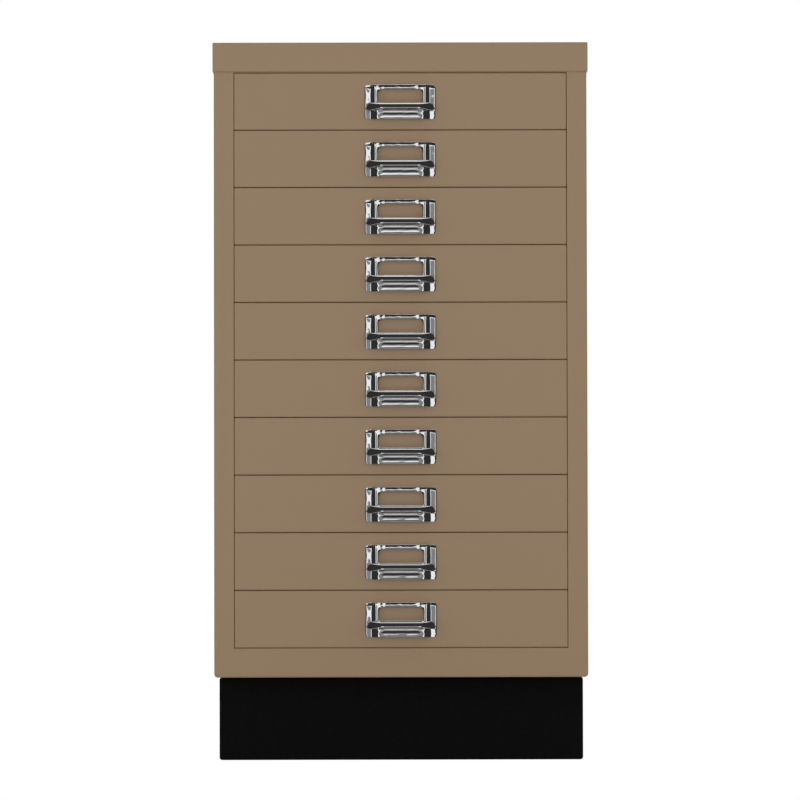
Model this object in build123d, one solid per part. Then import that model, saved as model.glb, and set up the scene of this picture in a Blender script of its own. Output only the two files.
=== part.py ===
from build123d import *
import os

# Steel chest of ten shallow drawers for large sheets of paper, standing on a separate plinth.
# Millimetres, +Z up, front towards -Y. The origin is on the floor, under the middle of the box
# that encloses the whole chest, pulls included.
#
# The carcase is folded sheet: two side panels that turn in at the front as uprights, a bottom
# rail and a top rail between them, a base, a back and a lid that caps the sides. A runner panel
# inside each side carries an angle under each edge of every drawer. A drawer is a shallow front
# pan, a tray welded into it, a plated pull that also holds a label, and two stop brackets.

# Overall sizes
lid_width = 349.0
lid_depth = 432.0
lid_skirt_height = 27.3
lid_reveal = 0.9
drawer_count = 10
drawer_pitch = 53.45
bottom_rail_height = 27.3
upright_width = 18.5
plinth_height = 77.0

# Sheet thicknesses
body_sheet = 0.9
lid_sheet = 0.9
plinth_sheet = 1.2
front_sheet = 0.9
tray_sheet = 0.7
panel_sheet = 0.8
runner_sheet = 0.9
rear_stop_sheet = 0.9
bracket_sheet = 0.9

# Inside bend radii of the folded sheets
body_bend = 0.6
body_foot_bend = 2.6
lid_bend = 0.3
front_bend = 0.2
tray_bend = 0.8
plinth_bend = 1.4
fold_bend = 0.5

# Rounded edges
lid_edge_round = 0.8
upright_edge_round = 0.2

# Clearances
lid_clearance = 0.25
drawer_gap = 0.5
drawer_side_gap = 0.3
slide_clearance = 0.3
panel_clearance = 0.45
sheet_edge_margin = 3.0
runner_end_gap = 0.8

# Returns and flanges
upright_return_depth = 12.0
rail_return_depth = 14.0
front_return_depth = 10.0
panel_flange = 13.0
panel_foot_gap = 14.0
panel_head_gap = 6.0

# Runner angles and the tray that slides on them
ledge_overlap = 9.0
runner_web_height = 8.0
runner_front_gap = 4.0
rear_stop_height = 7.0
tray_height = 48.0
hem_height = 5.0

# Stop brackets near the back of a tray's sides
stop_from_tray_back = 68.6
stop_length = 30.0
stop_height = 14.0
stop_above_tray_foot = 28.0

# Plinth
plinth_side_inset = 4.2
plinth_front_inset = 20.0
plinth_back_inset = 5.0
plinth_flange = 22.0

# Bolts, washers and nuts that hold the plinth
bolt_radius = 3.0
bolt_hole_clearance = 0.3
bolt_head_across = 10.0
bolt_head_height = 4.0
bolt_end_proud = 2.0
washer_radius = 6.0
washer_thickness = 1.6
nut_across = 10.0
nut_height = 5.0
thread_clearance = 0.05
washer_clearance = 0.5
bolt_from_plinth_end = 34.0

# Pull: a pressed plate with a label window, above a bowed grip and a rolled foot
plate_width = 66.3
plate_height = 32.6
plate_corner = 2.8
plate_flange_width = 5.2
plate_flange_sheet = 1.0
plate_slope_width = 3.6
plate_front = 3.2
plate_bend = 1.0
window_width = 41.9
window_height = 12.5
window_corner = 2.0
window_from_top = 4.65
window_edge_round = 0.7
card_slot_depth = 2.0
card_slot_lap = 2.2
card_slot_below_window = 3.0
foot_roll_height = 8.0
foot_roll_rise = 1.8
foot_roll_round = 2.2
grip_from_top = 20.0
grip_projection = 15.0
grip_thickness = 2.4
grip_height = 5.8
grip_round = 1.2
grip_end_inset = 0.95
grip_turn = 10.6
ear_height = 9.2
ear_length = 10.5
ear_corner = 3.4
ear_overrun = 0.5
prong_height = 5.0
prong_sheet = 1.0
prong_length = 5.0
prong_from_edge = 1.7
prong_clearance = 0.3
pull_drop = 0.6

# Places across the chest, as half widths
lid_half = lid_width / 2
lid_lap = lid_sheet + lid_clearance
body_half = lid_half - lid_lap
opening_half = body_half - upright_width
front_half = opening_half - drawer_side_gap
tray_half = front_half - front_sheet
panel_half = opening_half + body_sheet + panel_clearance
ledge_half = tray_half - ledge_overlap
stop_half = panel_half - slide_clearance
floor_half = body_half - body_sheet - sheet_edge_margin
plinth_half = body_half - plinth_side_inset
bolt_half = plinth_half - plinth_sheet - plinth_bend - washer_clearance - washer_radius

# Places from front to back
body_depth = lid_depth - 2 * lid_lap
front_y = (grip_projection - body_depth - lid_lap) / 2
back_y = front_y + body_depth
back_panel_y = back_y - 2 * body_sheet
runner_back_y = back_panel_y - runner_end_gap
runner_front_y = front_y + front_return_depth + runner_front_gap
tray_front_y = front_y + front_sheet + front_bend
tray_back_y = runner_back_y - rear_stop_sheet - slide_clearance
stop_y = tray_back_y - stop_from_tray_back
plinth_front_y = front_y + plinth_front_inset
plinth_back_y = back_y - plinth_back_inset
bolt_ys = (plinth_front_y + bolt_from_plinth_end, plinth_back_y - bolt_from_plinth_end)

# How far a drawer opens before its stop brackets meet the uprights' returns
drawer_travel = stop_y - (front_y + upright_return_depth) - slide_clearance

# Heights
base_z = plinth_height
floor_z = base_z + body_sheet
floor_top_z = floor_z + body_sheet
opening_z = base_z + bottom_rail_height
opening_top_z = opening_z + drawer_count * drawer_pitch
lid_foot_z = opening_top_z + lid_reveal
lid_top_z = lid_foot_z + lid_skirt_height
side_top_z = lid_top_z - lid_sheet

# Heights within one drawer's cell, from the foot of the cell
front_low = drawer_gap / 2
front_high = drawer_pitch - drawer_gap / 2
tray_low = front_low + front_sheet
ledge_top = tray_low - slide_clearance
pull_z = drawer_pitch / 2 - pull_drop

# Sides of a box, as an axis and its low or high end
LEFT, RIGHT = "x low", "x high"
FRONT, BACK = "y low", "y high"
FOOT, TOP = "z low", "z high"
SAME = 1e-6


def block(low, high):
    """A box between two corner points."""
    size = [b - a for a, b in zip(low, high)]
    middle = [(a + b) / 2 for a, b in zip(low, high)]
    return Pos(*middle) * Box(*size)


def edges_on(shape, low, high, *sides):
    """The edges of a box-like shape whose middle lies on every one of the named sides."""

    def lies_on(edge, side):
        axis, end = side.split()
        along = "xyz".index(axis)
        face = low if end == "low" else high
        return abs(tuple(edge.center())[along] - face[along]) < SAME

    return [edge for edge in shape.edges() if all(lies_on(edge, side) for side in sides)]


def rounded_box(low, high, radius, open_sides):
    """A box with every edge rounded that isn't on one of its open sides."""
    shape = block(low, high)
    left_sharp = [edge for side in open_sides for edge in edges_on(shape, low, high, side)]
    return fillet([edge for edge in shape.edges() if edge not in left_sharp], radius)


def inside_of(low, high, sheet, open_sides):
    """The corners of the space inside a folded pan, which runs out past its open sides."""
    def steps(end):
        return [-sheet if f"{axis} {end}" in open_sides else sheet for axis in "xyz"]

    return (
        [value + step for value, step in zip(low, steps("low"))],
        [value - step for value, step in zip(high, steps("high"))],
    )


def pan(low, high, sheet, bend, open_sides):
    """A pan of folded sheet between two corner points, with rounded bends and open sides."""
    outside = rounded_box(low, high, bend + sheet, open_sides)
    inside = rounded_box(*inside_of(low, high, sheet, open_sides), bend, open_sides)
    return outside - inside


def folded(points, sheet, bend):
    """The section of a sheet folded square along a line of corners; it lies on the line's left."""
    near = [Vector(*point) for point in points]
    runs = [(b - a).normalized() for a, b in zip(near, near[1:])]
    lefts = [Vector(-run.Y, run.X) for run in runs]
    shifts = [lefts[0], *(a + b for a, b in zip(lefts, lefts[1:])), lefts[-1]]
    far = [point + shift * sheet for point, shift in zip(near, shifts)]
    left_turns = [a.cross(b).Z > 0 for a, b in zip(runs, runs[1:])]
    near_line = FilletPolyline(*near, radius=[bend + sheet if left else bend for left in left_turns])
    far_line = FilletPolyline(*far, radius=[bend if left else bend + sheet for left in left_turns])
    ends = [Line(near[0], far[0]), Line(near[-1], far[-1])]
    return make_face(Curve() + [near_line, far_line, *ends])


def mirrored(shape):
    """The same piece for the other side of the chest."""
    return mirror(shape, about=Plane.YZ)


def group(shapes):
    """Several separate solids as one piece."""
    return Compound(children=[solid for shape in shapes for solid in shape.solids()])


def bolt_places():
    """Where the four bolts of the plinth stand, in plan."""
    return [(x, y) for x in (-bolt_half, bolt_half) for y in bolt_ys]


def upright(radius, height, z):
    """Four round bars on the bolts' axes: holes to cut, or the shanks themselves."""
    return [Pos(x, y, z + height / 2) * Cylinder(radius, height) for x, y in bolt_places()]


# Carcase

def side_box(low, high, bend, foot_bend):
    """The outline of a left side panel: a wide bend at its foot and small ones elsewhere."""
    shape = block(low, high)
    shape = fillet(edges_on(shape, low, high, LEFT, FOOT), foot_bend)
    sharp = edges_on(shape, low, high, RIGHT)
    ends = edges_on(shape, low, high, FRONT) + edges_on(shape, low, high, BACK)
    top = edges_on(shape, low, high, LEFT, TOP)
    return fillet([edge for edge in ends + top if edge not in sharp], bend)


def side_panel():
    """The left side: a pan open towards the drawers, whose front edge is the upright."""
    low, high = (-body_half, front_y, base_z), (-opening_half, back_y, side_top_z)
    outside = side_box(low, high, body_bend + body_sheet, body_foot_bend + body_sheet)
    inside = side_box(*inside_of(low, high, body_sheet, [RIGHT]), body_bend, body_foot_bend)
    inner_return = block(
        (-opening_half - body_sheet, front_y, floor_top_z),
        (-opening_half, front_y + upright_return_depth, side_top_z - body_sheet),
    )
    panel = outside - inside + inner_return - opening_edge_round()
    return panel - upright(bolt_radius + bolt_hole_clearance, body_sheet * 2, base_z - body_sheet / 2)


def opening_edge_round():
    """What is taken off the upright's sharp edge beside the drawers."""
    r = upright_edge_round
    corner = Pos(-opening_half - r / 2, front_y + r / 2) * Rectangle(r, r)
    corner -= Pos(-opening_half - r, front_y + r) * Circle(r)
    return Pos(0, 0, opening_z) * extrude(corner, side_top_z - opening_z)


def rail(low_z, high_z):
    """A channel between the uprights, with its face at the front."""
    back = front_y + rail_return_depth
    line = [(back, high_z), (front_y, high_z), (front_y, low_z), (back, low_z)]
    return extrude(Plane.YZ * folded(line, body_sheet, body_bend), opening_half, both=True)


def base_panel():
    """The floor of the carcase, welded on the turned-in feet of the sides."""
    sheet = block(
        (-floor_half, front_y + body_sheet + sheet_edge_margin, floor_z),
        (floor_half, back_panel_y, floor_top_z),
    )
    return sheet - upright(bolt_radius + bolt_hole_clearance, body_sheet * 2, floor_z - body_sheet / 2)


def back_panel():
    """The back, welded inside the sides' rear returns."""
    return block(
        (-floor_half, back_panel_y, floor_z + body_bend),
        (floor_half, back_panel_y + body_sheet, side_top_z - body_sheet - body_bend),
    )


def top_lid():
    """The lid: a pan turned down over the carcase, with the foot of its skirt rounded."""
    low = (-lid_half, front_y - lid_lap, lid_foot_z)
    high = (lid_half, back_y + lid_lap, lid_top_z)
    lid = pan(low, high, lid_sheet, lid_bend, [FOOT])
    skirt_foot = lid.faces().filter_by(Axis.Z).sort_by(Axis.Z)[0]
    return fillet(skirt_foot.outer_wire().edges(), lid_edge_round)


def runner_panel():
    """The left runner panel: a tall channel between the upright and the back."""
    start_y, end_y = front_y + body_sheet, back_panel_y
    tip = -panel_half - panel_flange
    line = [(tip, start_y), (-panel_half, start_y), (-panel_half, end_y), (tip, end_y)]
    foot_z, head_z = floor_top_z + panel_foot_gap, side_top_z - panel_head_gap
    return Pos(0, 0, foot_z) * extrude(folded(line, panel_sheet, fold_bend), head_z - foot_z)


def runner():
    """A left runner: an angle whose ledge carries a tray and whose web hangs down from it."""
    line = [
        (-ledge_half, ledge_top),
        (-panel_half, ledge_top),
        (-panel_half, ledge_top - runner_web_height),
    ]
    return extrude(
        Plane.XZ.offset(-runner_back_y) * folded(line, runner_sheet, fold_bend),
        runner_back_y - runner_front_y,
    )


def rear_stop():
    """A left rear stop: a plate on the back end of a ledge, which the tray meets when pushed in."""
    return block(
        (-panel_half + runner_sheet, runner_back_y - rear_stop_sheet, ledge_top),
        (-ledge_half, runner_back_y, ledge_top + rear_stop_height),
    )


def in_every_cell(shape):
    """A piece of one drawer's cell, repeated for every drawer."""
    return [Pos(0, 0, opening_z + cell * drawer_pitch) * shape for cell in range(drawer_count)]


# Plinth

def plinth():
    """A ring of folded sheet, turned in at the top and at the floor."""
    low = (-plinth_half, plinth_front_y, 0)
    high = (plinth_half, plinth_back_y, plinth_height)
    ring = pan(low, high, plinth_sheet, plinth_bend, [])
    clear_half = plinth_half - plinth_flange
    ring -= block(
        (-clear_half, plinth_front_y + plinth_flange, -plinth_sheet),
        (clear_half, plinth_back_y - plinth_flange, plinth_height + plinth_sheet),
    )
    hole = bolt_radius + bolt_hole_clearance
    return ring - upright(hole, plinth_sheet * 2, plinth_height - plinth_sheet * 1.5)


def bolts():
    """Hexagon bolts, put in from below through the plinth's top flange."""
    seat_z = plinth_height - plinth_sheet - washer_thickness
    end_z = floor_top_z + nut_height + bolt_end_proud
    head = extrude(RegularPolygon(bolt_head_across / 2, 6, major_radius=False), -bolt_head_height)
    bolt = head + extrude(Circle(bolt_radius), end_z - seat_z)
    return [Pos(x, y, seat_z) * bolt for x, y in bolt_places()]


def washers():
    """Plain washers under the bolts' heads."""
    ring = Circle(washer_radius) - Circle(bolt_radius + bolt_hole_clearance)
    washer = extrude(ring, washer_thickness)
    seat_z = plinth_height - plinth_sheet - washer_thickness
    return [Pos(x, y, seat_z) * washer for x, y in bolt_places()]


def nuts():
    """Hexagon nuts on the floor of the carcase."""
    outline = RegularPolygon(nut_across / 2, 6, major_radius=False)
    nut = extrude(outline - Circle(bolt_radius + thread_clearance), nut_height)
    return [Pos(x, y, floor_top_z) * nut for x, y in bolt_places()]


# Drawer, in its own cell: the foot of the cell is at Z = 0

def prong_middles():
    """Where the pull's two prongs pass through the front, across the chest."""
    from_middle = plate_width / 2 - prong_from_edge - prong_sheet / 2
    return (-from_middle, from_middle)


def grip_middle_z():
    """Height of the middle of the grip in the cell."""
    return pull_z + plate_height / 2 - grip_from_top


def drawer_front():
    """The front: a shallow pan with a slot for each prong of the pull."""
    low = (-front_half, front_y, front_low)
    high = (front_half, front_y + front_return_depth, front_high)
    face = pan(low, high, front_sheet, front_bend, [BACK])
    room = 2 * prong_clearance
    slot = Box(prong_sheet + room, front_sheet * 3, prong_height + room)
    return face - [Pos(x, front_y, grip_middle_z()) * slot for x in prong_middles()]


def drawer_tray():
    """The tray: floor, sides and back in one folded sheet, with a hem folded in at the rim."""
    low = (-tray_half, tray_front_y, tray_low)
    high = (tray_half, tray_back_y, tray_low + tray_height)
    tray = pan(low, high, tray_sheet, tray_bend, [TOP, FRONT])
    hem_foot = tray_low + tray_height - hem_height
    rim_low, rim_high = (-tray_half, tray_front_y, hem_foot), high
    rim = rounded_box(rim_low, rim_high, tray_bend + tray_sheet, [TOP, FOOT, FRONT])
    hem = 2 * tray_sheet
    rim -= block(
        (-tray_half + hem, tray_front_y - hem, hem_foot - hem),
        (tray_half - hem, tray_back_y - hem, tray_low + tray_height + hem),
    )
    return tray + rim


def stop_bracket():
    """A left stop bracket: an angle on the tray's side whose front leg meets the upright."""
    line = [(-stop_half, stop_y), (-tray_half, stop_y), (-tray_half, stop_y + stop_length)]
    angle = extrude(folded(line, bracket_sheet, fold_bend), stop_height)
    return Pos(0, 0, tray_low + stop_above_tray_foot) * angle


def rounded_plate(width, height, corner, depth):
    """A plate with round corners in the plane of the drawer's front, straddling that plane."""
    outline = Plane.XZ * RectangleRounded(width, height, corner)
    return extrude(outline, depth, both=True)


def pull_plate():
    """The plate of the pull: flat flanges beside a raised middle with the label's window."""
    half = plate_width / 2
    shoulder = half - plate_flange_width
    crest = shoulder - plate_slope_width
    right = [(crest, -plate_front), (shoulder, -plate_flange_sheet), (half, -plate_flange_sheet), (half, 0)]
    left = [(-x, y) for x, y in reversed(right)]
    plate = extrude(make_face(Polyline(*left, *right, close=True)), plate_height / 2, both=True)
    creases = [e for e in plate.edges().filter_by(Axis.Z) if abs(e.center().X) < half - SAME]
    plate = fillet(creases, plate_bend)
    plate &= rounded_plate(plate_width, plate_height, plate_corner, plate_front * 2)
    window_z = plate_height / 2 - window_from_top - window_height / 2
    window = rounded_plate(window_width, window_height, window_corner, plate_front * 2)
    plate -= Pos(0, 0, window_z) * window
    rim = [e for e in plate.faces().sort_by(Axis.Y)[0].inner_wires()[0].edges()]
    plate = fillet(rim, window_edge_round)
    slot_half = window_width / 2 + card_slot_lap
    slot_foot = window_z - window_height / 2 - card_slot_below_window
    return plate - block((-slot_half, -card_slot_depth, slot_foot), (slot_half, plate_front, plate_height))


def foot_roll():
    """The rolled foot of the pull, under the grip."""
    half = plate_width / 2 - plate_flange_width - plate_slope_width
    low = (-half, -plate_front - foot_roll_rise, -plate_height / 2)
    high = (half, 0, -plate_height / 2 + foot_roll_height)
    roll = block(low, high)
    return fillet(edges_on(roll, low, high, FRONT), foot_roll_round)


def grip_outline():
    """The grip seen from the front: a bar that widens to a round-cornered ear at each end.

    It runs a little past the grip's ends, so that the ears' corners meet the sides at an angle.
    """
    half = plate_width / 2 - grip_end_inset
    end = half + ear_overrun
    neck, lobe = (half - ear_length, grip_height / 2), (end - ear_corner, ear_height / 2)
    tip = (end, ear_height / 2 - ear_corner)
    quarter = [
        Line((0, grip_height / 2), neck),
        Spline(neck, lobe, tangents=[(1, 0), (1, 0)]),
        RadiusArc(lobe, tip, ear_corner),
        Line(tip, (end, 0)),
    ]
    upper = quarter + [mirror(edge, about=Plane.YZ) for edge in quarter]
    return make_face(upper + [mirror(edge, about=Plane.XZ) for edge in upper])


def pull_grip():
    """The grip: a bowed strap with ears, its long edges rounded on the side away from the front."""
    half = plate_width / 2 - grip_end_inset
    root = -plate_flange_sheet / 2
    line = [(-half, root), (-half, -grip_projection), (half, -grip_projection), (half, root)]
    strap = extrude(folded(line, grip_thickness, grip_turn), ear_height / 2, both=True)
    grip = strap & extrude(Plane.XZ * grip_outline(), grip_projection, both=True)
    face = grip.faces().sort_by(Axis.Y)[0]
    bar = [e for e in face.edges() if abs(e.center().X) < SAME]
    return fillet(bar, grip_round)


def prongs():
    """Two prongs that pass through the front and are bent over behind it."""
    shapes = []
    for x in prong_middles():
        inwards = -1 if x > 0 else 1
        tip = x + inwards * (prong_length - prong_sheet / 2)
        outer = x - inwards * prong_sheet / 2
        through = Box(prong_sheet, front_sheet + 2 * prong_sheet, prong_height)
        bent = Box(abs(tip - outer), prong_sheet, prong_height)
        shapes += [
            Pos(x, front_sheet / 2, 0) * through,
            Pos((tip + outer) / 2, front_sheet + prong_sheet / 2, 0) * bent,
        ]
    return shapes


def drawer_pull():
    """The whole pull, one pressing, seated on the drawer's front."""
    grip_z = plate_height / 2 - grip_from_top
    pull = pull_plate() + foot_roll() + [Pos(0, 0, grip_z) * p for p in [pull_grip(), *prongs()]]
    return Pos(0, front_y, pull_z) * pull


pieces = {
    "top_lid": top_lid(),
    "left_side_panel": side_panel(),
    "right_side_panel": mirrored(side_panel()),
    "back_panel": back_panel(),
    "base_panel": base_panel(),
    "bottom_rail": rail(base_z, opening_z),
    "top_rail": rail(opening_top_z, side_top_z),
    "left_runner_panel": runner_panel(),
    "right_runner_panel": mirrored(runner_panel()),
    "left_runners": group(in_every_cell(runner())),
    "right_runners": group(in_every_cell(mirrored(runner()))),
    "left_rear_stops": group(in_every_cell(rear_stop())),
    "right_rear_stops": group(in_every_cell(mirrored(rear_stop()))),
    "plinth": plinth(),
    "plinth_bolts": group(bolts()),
    "plinth_washers": group(washers()),
    "plinth_nuts": group(nuts()),
}

drawer = {
    "front": drawer_front(),
    "tray": drawer_tray(),
    "pull": drawer_pull(),
    "stops": group([stop_bracket(), mirrored(stop_bracket())]),
}

# Drawer 1 is at the top
for number in range(1, drawer_count + 1):
    cell_z = opening_z + (drawer_count - number) * drawer_pitch
    for name, shape in drawer.items():
        pieces[f"drawer_{number:02d}_{name}"] = shape.moved(Location((0, 0, cell_z)))

os.makedirs("parts", exist_ok=True)
for name, shape in pieces.items():
    export_step(shape, f"parts/{name}.step")

print(f"overall height {lid_top_z:.1f}, travel of a drawer {drawer_travel:.2f}")
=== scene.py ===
import math

import bmesh
import bpy
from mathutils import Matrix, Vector, noise


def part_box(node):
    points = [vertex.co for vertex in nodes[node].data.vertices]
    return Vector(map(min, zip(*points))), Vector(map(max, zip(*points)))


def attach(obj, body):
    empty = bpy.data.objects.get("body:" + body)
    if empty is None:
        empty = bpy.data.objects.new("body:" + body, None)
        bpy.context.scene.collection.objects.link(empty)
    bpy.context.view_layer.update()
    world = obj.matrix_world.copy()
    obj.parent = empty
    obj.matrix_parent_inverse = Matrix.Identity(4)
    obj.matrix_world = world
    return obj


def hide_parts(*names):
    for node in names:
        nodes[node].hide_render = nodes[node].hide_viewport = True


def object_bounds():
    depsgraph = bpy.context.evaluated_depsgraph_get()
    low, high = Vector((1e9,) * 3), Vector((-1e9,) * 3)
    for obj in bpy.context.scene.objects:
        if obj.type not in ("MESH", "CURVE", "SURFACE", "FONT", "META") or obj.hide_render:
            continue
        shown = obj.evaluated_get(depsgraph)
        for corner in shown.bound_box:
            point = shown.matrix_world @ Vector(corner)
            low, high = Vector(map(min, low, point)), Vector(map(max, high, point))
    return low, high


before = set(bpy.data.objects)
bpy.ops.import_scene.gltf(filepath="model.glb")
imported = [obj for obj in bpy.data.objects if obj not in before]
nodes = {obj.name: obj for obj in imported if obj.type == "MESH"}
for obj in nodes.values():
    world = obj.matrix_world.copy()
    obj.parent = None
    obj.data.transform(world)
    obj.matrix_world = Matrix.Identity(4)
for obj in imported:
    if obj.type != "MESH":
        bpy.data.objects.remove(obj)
cad_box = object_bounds()
scene = bpy.context.scene

# Camera
# It stands five metres in front of the chest, a little above the plinth, with a long lens.
camera_data = bpy.data.cameras.new("camera")
camera_data.sensor_width = 36.0
camera_data.lens = 232.45
camera_data.clip_end = 50.0
camera = bpy.data.objects.new("camera", camera_data)
camera.location = (-0.0164, -5.0, 0.1744)
camera.rotation_euler = (math.pi / 2 + 0.03332, 0.00210, -0.00321)
scene.collection.objects.link(camera)
scene.camera = camera

# White room
# Camera rays see pure white. What lights the chest is a little weaker, so that the lamps below
# still shape it. Mirror rays see a room of cards, each given by its bearings and heights in
# degrees: white overhead and behind, grey underfoot, and black in front of the chest, with a grey
# card and three white strips behind the camera that the plating picks up.
scene.view_settings.view_transform = "Standard"
room_light_strength = 0.74
black_strength = 0.03
cards = [
    ((-181, 181), (47, 91), 1.0),
    ((-181, 181), (-91, -50), 0.5),
    ((-181, -125), (-50, 47), 1.0),
    ((125, 181), (-50, 47), 1.0),
    ((-10, 10), (-12, 7.5), 0.25),
    ((-10, 10), (7.5, 15), 1.0),
    ((-22, -10), (-20, 20), 1.0),
    ((10, 22), (-20, 20), 1.0),
]


def wired_node(tree, kind, inputs, **settings):
    """A node whose inputs are each given a value or linked to another node's output."""
    node = tree.nodes.new(kind)
    for name, value in settings.items():
        setattr(node, name, value)
    for socket, value in inputs.items():
        if isinstance(value, bpy.types.NodeSocket):
            tree.links.new(value, node.inputs[socket])
        else:
            node.inputs[socket].default_value = value
    return node


def math_node(tree, operation, *values):
    """One sum in a node tree; a value is a number or another node's output."""
    return wired_node(tree, "ShaderNodeMath", dict(enumerate(values)), operation=operation).outputs[0]


def new_group(name, inputs, outputs):
    """An empty shader group with named number and colour sockets."""
    group = bpy.data.node_groups.new(name, "ShaderNodeTree")
    for socket, kind, value in inputs:
        made = group.interface.new_socket(socket, in_out="INPUT", socket_type=kind)
        made.default_value = value
    for socket, kind in outputs:
        group.interface.new_socket(socket, in_out="OUTPUT", socket_type=kind)
    return group, group.nodes.new("NodeGroupInput"), group.nodes.new("NodeGroupOutput")


card_group, card_in, card_out = new_group(
    "mirror_card",
    [(socket, "NodeSocketFloat", 0.0) for socket in ("Bearing", "Height", "Left", "Right", "Foot", "Head")]
    + [("Soft edge", "NodeSocketFloat", 1.0), ("Strength", "NodeSocketFloat", 1.0)],
    [("Brightness", "NodeSocketFloat")],
)
brightness = card_in.outputs["Strength"]
for angle, low, high in (("Bearing", "Left", "Right"), ("Height", "Foot", "Head")):
    for near, far in ((angle, low), (high, angle)):
        inward = math_node(card_group, "SUBTRACT", card_in.outputs[near], card_in.outputs[far])
        share = math_node(card_group, "DIVIDE", inward, card_in.outputs["Soft edge"])
        share = math_node(card_group, "ADD", share, 0.5)
        share.node.use_clamp = True
        brightness = math_node(card_group, "MULTIPLY", brightness, share)
card_group.links.new(brightness, card_out.inputs["Brightness"])


def for_rays(tree, kinds, other, seen):
    """Shows one shader to the named kinds of rays and the other to the rest."""
    path = tree.nodes.new("ShaderNodeLightPath")
    any_kind = 0.0
    for kind in kinds:
        any_kind = math_node(tree, "MAXIMUM", any_kind, path.outputs[f"Is {kind} Ray"])
    return wired_node(tree, "ShaderNodeMixShader", {0: any_kind, 1: other, 2: seen}).outputs[0]


room = bpy.data.worlds.new("white_room")
room.use_nodes = True
scene.world = room
room_tree = room.node_tree
room_tree.nodes.clear()
looked_at = room_tree.nodes.new("ShaderNodeTexCoord").outputs["Generated"]
direction = wired_node(room_tree, "ShaderNodeSeparateXYZ", {0: looked_at}).outputs
ahead = math_node(room_tree, "MULTIPLY", direction["Y"], -1.0)
bearing = math_node(room_tree, "DEGREES", math_node(room_tree, "ARCTAN2", direction["X"], ahead))
height = math_node(room_tree, "DEGREES", math_node(room_tree, "ARCSINE", direction["Z"]))
mirrored = black_strength
for bearings, heights, strength in cards:
    edges = dict(zip(("Left", "Right", "Foot", "Head"), (*bearings, *heights)))
    looks = {"Bearing": bearing, "Height": height, "Strength": strength}
    card = wired_node(room_tree, "ShaderNodeGroup", looks | edges, node_tree=card_group)
    mirrored = math_node(room_tree, "MAXIMUM", mirrored, card.outputs["Brightness"])


def room_shade(strength):
    """A plain white background of one strength, which may be another node's output."""
    inputs = {"Color": (1, 1, 1, 1), "Strength": strength}
    return wired_node(room_tree, "ShaderNodeBackground", inputs).outputs[0]


room_shown = for_rays(room_tree, ["Glossy"], room_shade(room_light_strength), room_shade(mirrored))
room_shown = for_rays(room_tree, ["Camera", "Transmission"], room_shown, room_shade(1.0))
wired_node(room_tree, "ShaderNodeOutputWorld", {"Surface": room_shown})

# Floor
# A wide sheet of white paper. The camera sees it as white as the room, without a shadow or a
# horizon; it lights the chest from below, and mirrors look through it.
floor_reach = 6.0
floor_white = (0.82, 0.82, 0.82, 1)
floor_mesh = bpy.data.meshes.new("studio_floor")
floor_mesh.from_pydata(
    [(x * floor_reach, y * floor_reach, 0) for x, y in ((-1, -1), (1, -1), (1, 1), (-1, 1))],
    [],
    [(0, 1, 2, 3)],
)
floor = bpy.data.objects.new("studio_floor", floor_mesh)
floor.visible_glossy = False
scene.collection.objects.link(floor)

floor_paper = bpy.data.materials.new("white_paper")
floor_paper.use_nodes = True
paper_tree = floor_paper.node_tree
paper_tree.nodes.clear()
paper = wired_node(paper_tree, "ShaderNodeBsdfDiffuse", {"Color": floor_white})
glow = paper_tree.nodes.new("ShaderNodeEmission")
paper_shown = for_rays(paper_tree, ["Camera"], paper.outputs[0], glow.outputs[0])
wired_node(paper_tree, "ShaderNodeOutputMaterial", {"Surface": paper_shown})
floor_mesh.materials.append(floor_paper)

# Lamps
# One wide soft lamp in front, as high as the chest, and weaker ones at the sides and behind.
chest_middle = (cad_box[0] + cad_box[1]) / 2


def soft_lamp(name, place, width, height, power):
    """A large soft lamp that stands at a place and faces the middle of the chest."""
    data = bpy.data.lights.new(name, "AREA")
    data.shape = "RECTANGLE"
    data.size = width
    data.size_y = height
    data.energy = power
    lamp = bpy.data.objects.new(name, data)
    lamp.location = place
    lamp.rotation_euler = (chest_middle - Vector(place)).to_track_quat("-Z", "Y").to_euler()
    lamp.visible_glossy = False
    scene.collection.objects.link(lamp)


soft_lamp("front_lamp", (-0.4, -3.6, 0.5), 3.0, 1.6, 25)
soft_lamp("left_lamp", (-3.2, -1.2, 1.2), 2.0, 2.0, 16)
soft_lamp("right_lamp", (3.2, -1.2, 1.2), 2.0, 2.0, 16)
soft_lamp("back_lamp", (0.4, 3.4, 2.0), 3.0, 1.6, 24)

# Powder coat
# The steel is powder coated. The coat lies in a fine orange peel, and its tone drifts a little
# over a panel. The same group makes the chest's smooth brown and the plinth's grainy black.


def noise_node(tree, place, size, detail):
    """Noise over Object coordinates whose features are about as large as size, in metres."""
    scale = math_node(tree, "DIVIDE", 1.0, size)
    inputs = {"Vector": place, "Scale": scale, "Detail": detail}
    return wired_node(tree, "ShaderNodeTexNoise", inputs).outputs[0]


powder, powder_in, powder_out = new_group(
    "powder_coat",
    [
        ("Colour", "NodeSocketColor", (0.5, 0.5, 0.5, 1)),
        ("Drift", "NodeSocketFloat", 0.03),
        ("Roughness", "NodeSocketFloat", 0.4),
        ("Grain size", "NodeSocketFloat", 0.001),
        ("Speckle", "NodeSocketFloat", 0.0),
    ],
    [("Colour", "NodeSocketColor"), ("Roughness", "NodeSocketFloat"), ("Height", "NodeSocketFloat")],
)
place = powder.nodes.new("ShaderNodeTexCoord").outputs["Object"]
drift_patch = 0.11
drift_dulls = 0.12
drift = noise_node(powder, place, drift_patch, 2.0)
grain = noise_node(powder, place, powder_in.outputs["Grain size"], 3.0)
centred = math_node(powder, "SUBTRACT", drift, 0.5)
speck = math_node(powder, "MULTIPLY", math_node(powder, "SUBTRACT", grain, 0.5),
                  powder_in.outputs["Speckle"])
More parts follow.
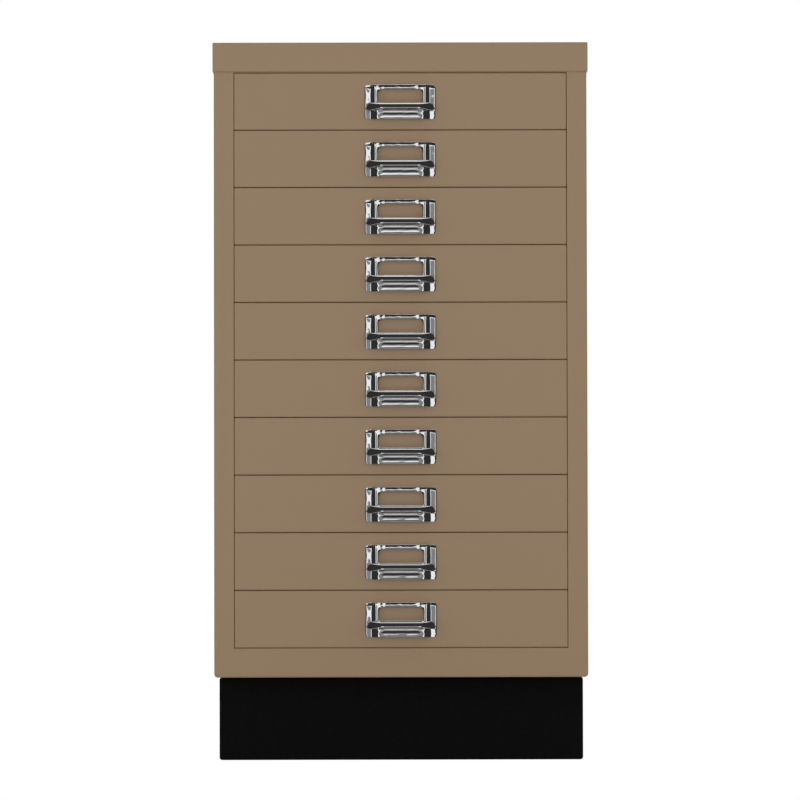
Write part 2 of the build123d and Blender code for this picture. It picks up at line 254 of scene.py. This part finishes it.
tone = math_node(powder, "MULTIPLY", centred, powder_in.outputs["Drift"])
tone = math_node(powder, "ADD", math_node(powder, "ADD", tone, speck), 1.0)
toned = wired_node(powder, "ShaderNodeVectorMath", {0: powder_in.outputs["Colour"], "Scale": tone},
                   operation="SCALE")
duller = math_node(powder, "MULTIPLY", centred, drift_dulls)
dull = math_node(powder, "ADD", powder_in.outputs["Roughness"], duller)
for socket, value in (("Colour", toned.outputs[0]), ("Roughness", dull), ("Height", grain)):
    powder.links.new(value, powder_out.inputs[socket])


def powder_coat(name, colour, roughness, sheen, drift, grain_size, speckle, peel, peel_depth):
    """A powder-coated finish made with the group."""
    finish = bpy.data.materials.new(name)
    finish.use_nodes = True
    tree = finish.node_tree
    shader = tree.nodes["Principled BSDF"]
    shader.inputs["Specular IOR Level"].default_value = sheen
    tuned = {"Colour": colour, "Drift": drift, "Roughness": roughness, "Grain size": grain_size,
             "Speckle": speckle}
    coat = wired_node(tree, "ShaderNodeGroup", tuned, node_tree=powder).outputs
    skin = {"Strength": peel, "Distance": peel_depth, "Height": coat["Height"]}
    bump = wired_node(tree, "ShaderNodeBump", skin).outputs["Normal"]
    for socket, value in (("Base Color", coat["Colour"]), ("Roughness", coat["Roughness"]), ("Normal", bump)):
        tree.links.new(value, shader.inputs[socket])
    return finish


def finish_node(name, finish):
    """Gives a CAD node its finish."""
    node = nodes[name]
    node.data.materials.clear()
    node.data.materials.append(finish)


# Carcase
# Folded steel sheet, spot welded and painted a satin brown: a lid, two sides that turn in at the
# front, rails, a base, a back, and a panel of runners inside each side.
brown = (0.282, 0.1885, 0.1085, 1)
brown_coat = powder_coat(
    "brown_powder_coat", brown, roughness=0.42, sheen=0.5, drift=0.05,
    grain_size=0.0011, speckle=0.02, peel=0.25, peel_depth=0.00004,
)
carcase_painted = ["top_lid", "back_panel", "base_panel", "bottom_rail", "top_rail"]
carcase_painted += [f"{side}_{piece}" for side in ("left", "right")
                    for piece in ("side_panel", "runner_panel", "runners", "rear_stops")]
for name in carcase_painted:
    finish_node(name, brown_coat)

# Spot welds
# The back sheet is welded to the sides' rear folds. Each weld leaves a low round mark under the
# paint, in an even column down each fold.
fold_low, fold_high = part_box("left_side_panel")
weld_margin = 0.03
weld_sizes = {
    "Welds": 10,
    "Fold middle": -(fold_low.x + fold_high.x) / 2,
    "Back": fold_high.y,
    "Foot": fold_low.z + weld_margin,
    "Head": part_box("top_lid")[0].z - weld_margin,
    "Mark radius": 0.0024,
    "Crown share": 0.75,
    "Mark height": 0.0003,
}
weld_tree = bpy.data.node_groups.new("weld_marks", "GeometryNodeTree")
for name, value in weld_sizes.items():
    kind = "NodeSocketInt" if isinstance(value, int) else "NodeSocketFloat"
    weld_tree.interface.new_socket(name, in_out="INPUT", socket_type=kind)
weld_tree.interface.new_socket("Geometry", in_out="OUTPUT", socket_type="NodeSocketGeometry")
weld_in = weld_tree.nodes.new("NodeGroupInput").outputs
weld_run = math_node(weld_tree, "SUBTRACT", weld_in["Head"], weld_in["Foot"])
weld_pitch = math_node(weld_tree, "DIVIDE", weld_run, math_node(weld_tree, "SUBTRACT", weld_in["Welds"], 1))
step = wired_node(weld_tree, "ShaderNodeCombineXYZ", {"Z": weld_pitch}).outputs[0]
columns = weld_tree.nodes.new("GeometryNodeJoinGeometry")
for side in (-1, 1):
    across = math_node(weld_tree, "MULTIPLY", weld_in["Fold middle"], side)
    lowest = wired_node(weld_tree, "ShaderNodeCombineXYZ",
                        {"X": across, "Y": weld_in["Back"], "Z": weld_in["Foot"]})
    column = wired_node(weld_tree, "GeometryNodeMeshLine",
                        {"Count": weld_in["Welds"], "Start Location": lowest.outputs[0], "Offset": step})
    weld_tree.links.new(column.outputs[0], columns.inputs[0])
crown = math_node(weld_tree, "MULTIPLY", weld_in["Mark radius"], weld_in["Crown share"])
mark = wired_node(weld_tree, "GeometryNodeMeshCone", {
    "Vertices": 16,
    "Radius Top": crown,
    "Radius Bottom": weld_in["Mark radius"],
    "Depth": weld_in["Mark height"],
})
marks = wired_node(weld_tree, "GeometryNodeInstanceOnPoints", {
    "Points": columns.outputs[0],
    "Instance": mark.outputs["Mesh"],
    "Rotation": (-math.pi / 2, 0, 0),
})
solid_marks = wired_node(weld_tree, "GeometryNodeRealizeInstances", {0: marks.outputs[0]})
painted = wired_node(weld_tree, "GeometryNodeSetMaterial",
                     {"Geometry": solid_marks.outputs[0], "Material": brown_coat})
wired_node(weld_tree, "NodeGroupOutput", {0: painted.outputs[0]})


def finished_mesh(piece):
    """The mesh that an object has after its modifiers."""
    bpy.context.view_layer.update()
    finished = piece.evaluated_get(bpy.context.evaluated_depsgraph_get())
    return bpy.data.meshes.new_from_object(finished)


weld_marks = bpy.data.objects.new("weld_marks", bpy.data.meshes.new("weld_points"))
scene.collection.objects.link(weld_marks)
weld_maker = weld_marks.modifiers.new("weld_marks", "NODES")
weld_maker.node_group = weld_tree
for socket in weld_tree.interface.items_tree:
    if socket.in_out == "INPUT":
        weld_maker[socket.identifier] = weld_sizes[socket.name]
weld_mesh = finished_mesh(weld_marks)
weld_marks.modifiers.clear()
weld_marks.data = weld_mesh
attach(weld_marks, "carcase")

# Drawer fronts, trays and stops
# Each drawer is folded sheet in the same brown, welded together and painted in one go.
drawers = [f"drawer_{number:02d}" for number in range(1, 11)]
for drawer in drawers:
    for piece in ("front", "tray", "stops"):
        finish_node(f"{drawer}_{piece}", brown_coat)

# Plinth
# A ring of folded sheet in a matt black coat with a fine grain.
black = (0.0038, 0.0038, 0.0038, 1)
black_coat = powder_coat(
    "black_powder_coat", black, roughness=0.7, sheen=0.06, drift=0.2,
    grain_size=0.0012, speckle=1.2, peel=0.8, peel_depth=0.00012,
)
finish_node("plinth", black_coat)

# Bolts, washers and nuts
# Zinc-plated fasteners that hold the plinth to the base, seen from below and inside.
zinc_patch = 0.004
zinc_bright, zinc_dull = 0.28, 0.46
zinc_blue, zinc_yellow = (0.42, 0.43, 0.44, 1), (0.56, 0.56, 0.54, 1)
zinc = bpy.data.materials.new("zinc_plating")
zinc.use_nodes = True
zinc_tree = zinc.node_tree
zinc_shader = zinc_tree.nodes["Principled BSDF"]
zinc_shader.inputs["Metallic"].default_value = 1.0
zinc_place = zinc_tree.nodes.new("ShaderNodeTexCoord").outputs["Object"]
zinc_cloud = noise_node(zinc_tree, zinc_place, zinc_patch, 3.0)
zinc_sheen = wired_node(zinc_tree, "ShaderNodeMapRange",
                        {"Value": zinc_cloud, "To Min": zinc_bright, "To Max": zinc_dull})
zinc_tint = wired_node(zinc_tree, "ShaderNodeMix",
                       {"A": zinc_blue, "B": zinc_yellow, "Factor": zinc_cloud}, data_type="RGBA")
zinc_tree.links.new(zinc_sheen.outputs[0], zinc_shader.inputs["Roughness"])
zinc_tree.links.new(zinc_tint.outputs["Result"], zinc_shader.inputs["Base Color"])
for name in ("plinth_bolts", "plinth_washers", "plinth_nuts"):
    finish_node(name, zinc)

# Pulls
# One pressing of chromed sheet to a drawer: a plate with a window for a label, a bowed grip with
# an ear at each end, and a rolled foot. Two prongs bent over behind the front hold it.
mm = 0.001
# The pull's sizes are in millimetres, from the plate's middle and the drawer's face
plate_half_width = 33.15
plate_half_height = 16.3
plate_corner = 2.8
flange_depth = 1.1
raised_depth = 3.2
slope_middle = 25.5
window_half_width = 20.95
window_top = 11.65
window_foot = -0.85
window_corner = 3.05
pull_sheet = 0.9
grip_z = -3.7
grip_projection = 15.0
# The bar hangs this far below the middle of the prongs
grip_drop = 1.0

chrome_tone = (0.80, 0.81, 0.82, 1)
smudge_patch = 0.009
chrome_clear, chrome_smudged = 0.04, 0.09
chrome = bpy.data.materials.new("bright_chrome")
chrome.use_nodes = True
chrome_tree = chrome.node_tree
chrome_shader = chrome_tree.nodes["Principled BSDF"]
chrome_shader.inputs["Base Color"].default_value = chrome_tone
chrome_shader.inputs["Metallic"].default_value = 1.0
chrome_place = chrome_tree.nodes.new("ShaderNodeTexCoord").outputs["Object"]
smudge = noise_node(chrome_tree, chrome_place, smudge_patch, 3.0)
chrome_sheen = wired_node(chrome_tree, "ShaderNodeMapRange",
                          {"Value": smudge, "To Min": chrome_clear, "To Max": chrome_smudged})
chrome_tree.links.new(chrome_sheen.outputs[0], chrome_shader.inputs["Roughness"])


def between(value, places, heights):
    """A height read off a line of points."""
    if value <= places[0]:
        return heights[0]
    for a, b, low, high in zip(places, places[1:], heights, heights[1:]):
        if value <= b:
            return low + (high - low) * (value - a) / (b - a)
    return heights[-1]


def eased(value, start, end):
    """Nought before the start, one after the end, and a smooth rise between them."""
    share = min(max((value - start) / (end - start), 0.0), 1.0)
    return share * share * (3 - 2 * share)


# The middle is raised, and its slopes down to the flanges are narrower at the head
slope_heights, slope_halves = (10.5, 16.3), (2.25, 0.9)
# How far the rolled foot stands out of the plate, from the lower edge up, with lines that bend down
# towards its ends
foot_heights = (-16.3, -16.0, -15.5, -14.9, -13.6, -12.6, -11.2, -9.8, -9.2, -8.6, -5.0, -1.5)
foot_depths = (0.1, 0.7, 1.02, 1.12, 1.0, 0.9, 1.2, 1.5, 1.16, 0.7, 1.5, 0.0)
foot_bend, foot_bends_over, foot_ends_over = 2.6, (16.0, 23.5), (20.5, 24.5)
# The head rolls back, and the sheet beside the window's upper corners is pressed in
head_fold, head_lean = 13.4, 0.17
corner_lean, corner_outer, corner_inner, corner_slant, corner_top = 0.16, 22.2, 16.0, 0.5, 14.0
corner_rises_over, corner_starts_over = (8.8, 10.2), (15.0, 17.0)
# The flanges are bent back a little where the press let go of them
flange_start = 28.0
left_patch_lean, left_patch_foot, left_patch_head = 0.12, (1.0, 3.0), (8.5, 10.5)
left_corner_lean, left_corner_fold, left_corner_over = 0.22, 12.2, (25.5, 28.0)
right_patch_lean, right_patch_head = 0.13, (-9.5, -8.0)
right_head_lean, right_head_over = 0.10, (12.0, 15.0)
rim_drop, rim_over = 0.25, (32.2, 33.3)


def plate_depth(x, z):
    """How far the plate's face stands in front of the drawer."""
    side = abs(x)
    slope_half = between(z, slope_heights, slope_halves)
    slope = eased(side, slope_middle - slope_half, slope_middle + slope_half)
    depth = raised_depth - (raised_depth - flange_depth) * slope
    bent = z + foot_bend * eased(side, *foot_bends_over)
    depth += between(bent, foot_heights, foot_depths) * (1 - eased(side, *foot_ends_over))
    depth -= head_lean * max(0.0, z - head_fold)
    corner_edge = corner_inner + corner_slant * (corner_top - z)
    pressed = corner_lean * max(0.0, corner_outer - max(side, corner_edge))
    depth -= pressed * eased(z, *corner_rises_over) * eased(side, *corner_starts_over)
    out = max(0.0, side - flange_start)
    if x < 0:
        depth -= left_patch_lean * out * eased(z, *left_patch_foot) * (1 - eased(z, *left_patch_head))
        depth -= left_corner_lean * max(0.0, z - left_corner_fold) * eased(side, *left_corner_over)
    else:
        depth -= right_patch_lean * out * (1 - eased(z, *right_patch_head))
        depth -= right_head_lean * out * eased(z, *right_head_over)
    return depth - rim_drop * eased(side, *rim_over)


ripple_height, ripple_length, ripple_width = 0.075, 8.0, 2.4
ripple_lean = math.radians(20)
calm_foot, calm_foot_over = 0.6, (-9.0, -7.0)
rough_edge, rough_head_over, rough_flange_over = 0.8, (9.0, 11.5), (27.5, 29.0)


def plate_ripple(x, z):
    """Low slanting ripples that the press left in the sheet, higher at the head and right flange."""
    along = (x * math.cos(ripple_lean) + z * math.sin(ripple_lean)) / ripple_length
    across = (z * math.cos(ripple_lean) - x * math.sin(ripple_lean)) / ripple_width
    rough = rough_edge * max(eased(z, *rough_head_over), eased(x, *rough_flange_over))
    higher = calm_foot + (1 - calm_foot) * eased(z, *calm_foot_over) + rough
    return ripple_height * higher * noise.noise(Vector((along, across, 0.5)))


def rounded_corner(x, z):
    """Draws a point of the plate's square outline in onto its round corner."""
    u = abs(x) - (plate_half_width - plate_corner)
    v = abs(z) - (plate_half_height - plate_corner)
    if u <= 0 or v <= 0:
        return x, z
    shrink = max(u, v) / math.hypot(u, v)
    return (
        math.copysign(plate_half_width - plate_corner + u * shrink, x),
        math.copysign(plate_half_height - plate_corner + v * shrink, z),
    )


def modified_mesh(mesh, *modifiers):
    """The mesh after some modifiers, each given as its type and its settings."""
    piece = bpy.data.objects.new("unfinished", mesh)
    scene.collection.objects.link(piece)
    for kind, settings in modifiers:
        modifier = piece.modifiers.new(kind.lower(), kind)
        for name, value in settings.items():
            setattr(modifier, name, value)
    result = finished_mesh(piece)
    bpy.data.objects.remove(piece)
    return result


def plate_mesh():
    """The plate and its rolled foot, as a cage that is thickened and smoothed."""
    # The cage's lines are closer together where the sheet bends
    right = [0.0, 2.6, 5.2, 7.8, 10.4, 13.0, 15.5, 17.9, 20.95, 22.1, 23.2, 24.2, 25.1, 26.0, 26.9,
             27.8, 29.2, 30.6, 32.0, 33.15]
    columns = [-x for x in reversed(right[1:])] + right
    rows = [-16.3, -16.0, -15.5, -14.9, -13.6, -12.6, -11.2, -9.8, -9.2, -8.6, -6.8, -5.0, -3.4, -1.9,
            -0.85, 2.4, 5.5, 8.6, 11.65, 12.5, 13.4, 14.4, 15.4, 16.3]
    pressed_points, corner_press = ((17.9, 11.65), (20.95, 8.6)), 0.25
    cage = bmesh.new()
    grid = []
    for z in rows:
        line = []
        for x in columns:
            depth = plate_depth(x, z)
            # The two points beside each upper corner of the window are pressed back
            if (abs(x), z) in pressed_points:
                depth -= corner_press
            place = rounded_corner(x, z)
            line.append(cage.verts.new((place[0], -depth, place[1])))
        grid.append(line)
    for i in range(len(rows) - 1):
        for j in range(len(columns) - 1):
            middle_x = (columns[j] + columns[j + 1]) / 2
            middle_z = (rows[i] + rows[i + 1]) / 2
            ring = [grid[i][j], grid[i][j + 1], grid[i + 1][j + 1], grid[i + 1][j]]
            if not (abs(middle_x) < window_half_width and window_foot < middle_z < window_top):
                cage.faces.new(ring)
            elif abs(middle_x) > window_half_width - window_corner and middle_z > window_top - window_corner:
                inner = ring[0] if middle_x > 0 else ring[1]
                cage.faces.new([corner for corner in ring if corner is not inner])
    loose = [v for v in cage.verts if not v.link_faces]
    bmesh.ops.delete(cage, geom=loose, context="VERTS")
    mesh = bpy.data.meshes.new("plate_cage")
    cage.to_mesh(mesh)
    cage.free()
    thicken = ("SOLIDIFY", {"thickness": pull_sheet, "offset": -1.0, "edge_crease_rim": 0.35})
    smooth = ("SUBSURF", {"levels": 1, "render_levels": 1})
    mesh = modified_mesh(mesh, thicken, smooth)
    for point in mesh.vertices:
        point.co.y += plate_ripple(point.co.x, point.co.z)
    return mesh


def grip_mesh():
    """The grip: a lip of D section swept round its bowed path, higher at the ears."""
    half = 32.2
    bow_start, bow_tilt, end_turn = 14.0, math.radians(44), 2.6
    ear_start, ear_full, ear_corner = 19.0, 29.4, 3.4
    bar_half, ear_half, ear_drop = 2.5, 3.7, 0.4
    # Each point of the section is a share of the half height, and how far it lies behind the front
    section = [(1.0, 2.2), (1.0, 1.5), (0.8, 1.0), (0.3, 0.62), (-0.2, 0.3), (-0.5, 0.08), (-0.68, 0.0),
               (-0.9, 0.04), (-1.0, 0.5), (-1.0, 1.75), (-0.7, 2.4), (0.7, 2.4)]

    def half_height(x):
        side = abs(x)
        if side < ear_full:
            return bar_half + (ear_half - bar_half) * eased(side, ear_start, ear_full)
        reach = min(side - ear_full, ear_corner)
        return ear_half - ear_corner + math.sqrt(ear_corner ** 2 - reach ** 2)

    # Each station along the path is a point and the direction that the lip's front faces there
    stations = [((half, -0.5), (1.0, 0.0)), ((half, -1.4), (1.0, 0.0))]
    bow_end = half - end_turn * (1 - math.sin(bow_tilt))
    bow = (bow_end - bow_start) / math.sin(bow_tilt)
    turn_middle = (half - end_turn,
                   bow * (1 - math.cos(bow_tilt)) - grip_projection + end_turn * math.cos(bow_tilt))
    for tilt in (90, 75, 60, 44):
        out = (math.sin(math.radians(tilt)), -math.cos(math.radians(tilt)))
        stations.append(((turn_middle[0] + end_turn * out[0], turn_middle[1] + end_turn * out[1]), out))
    for tilt in (37, 30, 23, 16, 9, 3):
        out = (math.sin(math.radians(tilt)), -math.cos(math.radians(tilt)))
        stations.append(((bow_start + bow * out[0], bow - grip_projection + bow * out[1]), out))
    stations += [((x, -grip_projection), (0.0, -1.0)) for x in (12.0, 6.0)]
    left = [((-x, y), (-a, b)) for (x, y), (a, b) in reversed(stations)]
    cage = bmesh.new()
    rings = []
    for (x, y), (a, b) in stations + left:
        height = half_height(x)
        drop = grip_drop + ear_drop * eased(abs(x), ear_start, ear_full)
        rings.append([cage.verts.new((x - a * inset, y - b * inset, share * height - drop))
                      for share, inset in section])
    count = len(section)
    for near, far in zip(rings, rings[1:]):
        for i in range(count):
            j = (i + 1) % count
            cage.faces.new((near[i], far[i], far[j], near[j]))
    cage.faces.new(rings[0])
    cage.faces.new(reversed(rings[-1]))
    bmesh.ops.recalc_face_normals(cage, faces=cage.faces)
    mesh = bpy.data.meshes.new("grip_cage")
    cage.to_mesh(mesh)
    cage.free()
    return modified_mesh(mesh, ("SUBSURF", {"levels": 2, "render_levels": 2}))


def prong_mesh(side):
    """A flat prong that runs back through the drawer's front and is bent inwards behind it."""
    sheet, height, length, front = 1.0, 5.0, 5.0, 0.9
    outer = 31.45
    tip = outer - length
    outline = [(outer, -0.3), (outer, front + sheet), (tip, front + sheet), (tip, front),
               (outer - sheet, front), (outer - sheet, -0.3)]
    cage = bmesh.new()
    for z in (-height / 2, height / 2):
        for x, y in outline:
            cage.verts.new((side * x, y, z))
    cage.verts.ensure_lookup_table()
    count = len(outline)
    for i in range(count):
        j = (i + 1) % count
        cage.faces.new([cage.verts[k] for k in (i, j, j + count, i + count)])
    cage.faces.new([cage.verts[k] for k in range(count)])
    cage.faces.new([cage.verts[k + count] for k in range(count)])
    bmesh.ops.recalc_face_normals(cage, faces=cage.faces)
    mesh = bpy.data.meshes.new("prong_cage")
    cage.to_mesh(mesh)
    cage.free()
    return modified_mesh(mesh, ("BEVEL", {"width": 0.15, "segments": 2}))


pull = bmesh.new()
pull.from_mesh(plate_mesh())
for mesh in (grip_mesh(), prong_mesh(1), prong_mesh(-1)):
    start = len(pull.verts)
    pull.from_mesh(mesh)
    pull.verts.ensure_lookup_table()
    for point in pull.verts[start:]:
        point.co.z += grip_z
for face in pull.faces:
    face.smooth = True

for drawer in drawers:
    low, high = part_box(f"{drawer}_pull")
    middle = Vector(((low.x + high.x) / 2, low.y + grip_projection * mm, (low.z + high.z) / 2))
    mesh = bpy.data.meshes.new(f"{drawer}_chrome_pull")
    pull.to_mesh(mesh)
    for point in mesh.vertices:
        point.co = middle + point.co * mm
    mesh.materials.append(chrome)
    piece = bpy.data.objects.new(f"{drawer}_chrome_pull", mesh)
    scene.collection.objects.link(piece)
    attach(piece, drawer)
    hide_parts(f"{drawer}_pull")
